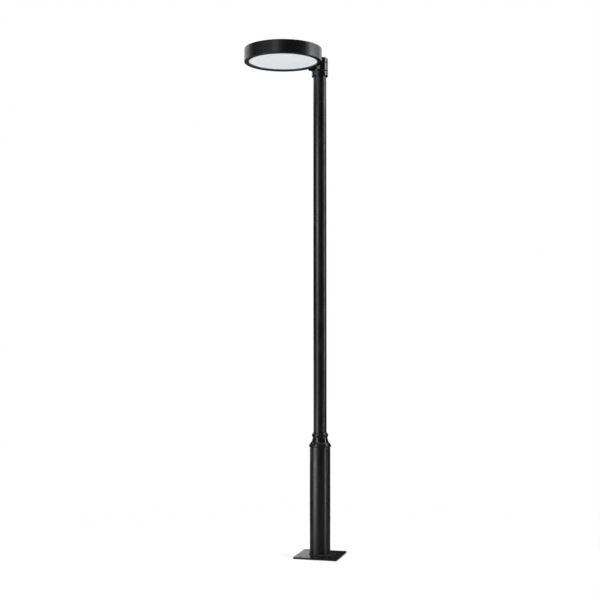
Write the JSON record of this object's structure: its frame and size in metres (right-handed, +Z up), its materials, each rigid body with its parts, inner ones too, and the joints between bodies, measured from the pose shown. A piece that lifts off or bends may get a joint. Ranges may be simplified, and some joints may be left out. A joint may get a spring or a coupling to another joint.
{
  "type": "street lamp post",
  "caption": "Stepped steel street lamp post on a square base plate, with a flat round lamp head on a swivel at the top.",
  "frame": {"origin": "on the post's axis, on the underside of the base plate", "axes": "+Z up along the post; the lamp head reaches towards -X and is symmetric about the XZ plane; the service door faces +X; the square base plate is turned 35.5 degrees about Z from the row axes"},
  "size_m": [0.7906, 0.52, 3.4295],
  "materials": {
    "black_coat": "satin black powder coat",
    "black_coat_alloy": "satin black powder coat on aluminium",
    "gloss_black": "gloss black enamel on aluminium castings",
    "screw_steel": "stainless",
    "black_screw": "blackened stainless",
    "galvanised": "zinc",
    "black_rubber": "matte",
    "nylon": "matte",
    "opal_acrylic": "opal satin",
    "white_reflector": "matte white",
    "bare_aluminium": "as cast",
    "board_white": "white solder mask on metal core",
    "chip_yellow": "phosphor",
    "grey_plastic": "moulded",
    "white_plastic": "moulded",
    "stud_brass": "plain"
  },
  "bodies": {
    "post": {"base_plate": "black_coat", "foot_weld": "black_coat", "lower_tube": "black_coat", "centring_rings": "galvanised", "upper_tube": "black_coat", "reducer_collar": "gloss_black", "reducer_set_screws": "black_screw", "door_tabs": "galvanised", "equipment_rail": "galvanised", "fuse_box": "grey_plastic", "earth_stud": "stud_brass", "earth_nut": "stud_brass", "pole_collar": "gloss_black", "collar_set_screws": "black_screw", "thrust_washer": "nylon", "friction_washer": "nylon", "retaining_ring": "galvanised", "retaining_screws": "screw_steel"},
    "lamp_head": {"swivel_hub": "gloss_black", "hub_lock_screws": "black_screw", "cap_seal": "black_rubber", "top_cap": "gloss_black", "cap_screws": "black_screw", "arm_seal": "black_rubber", "arm_bolts": "screw_steel", "cable_gland": "nylon", "lamp_housing": "black_coat_alloy", "trim_ring": "black_coat_alloy", "trim_screws": "black_screw", "diffuser_seal": "black_rubber", "diffuser": "opal_acrylic", "reflector_ring": "white_reflector", "led_board": "board_white", "thermal_pad": "grey_plastic", "board_screws": "screw_steel", "led_chips": "chip_yellow", "heat_sink": "bare_aluminium", "driver_bracket": "galvanised", "led_driver": "white_plastic", "surge_protector": "grey_plastic", "cover_seal": "black_rubber", "top_cover": "black_coat_alloy", "cover_screws": "black_screw", "breather_vent": "nylon"},
    "service_door": {"door_cover": "black_coat", "door_seal": "black_rubber", "door_screws": "screw_steel"}
  },
  "joints": [
    {"name": "head_swivel", "type": "hinge", "parent": "post", "child": "lamp_head", "pos_m": [0, 0, 3.34], "axis": [0, 0, 1], "range_deg": [-175, 175]},
    {"name": "door_lift_off", "type": "slide", "parent": "post", "child": "service_door", "axis": [1, 0, 0], "range_m": [0, 0.12]}
  ]
}
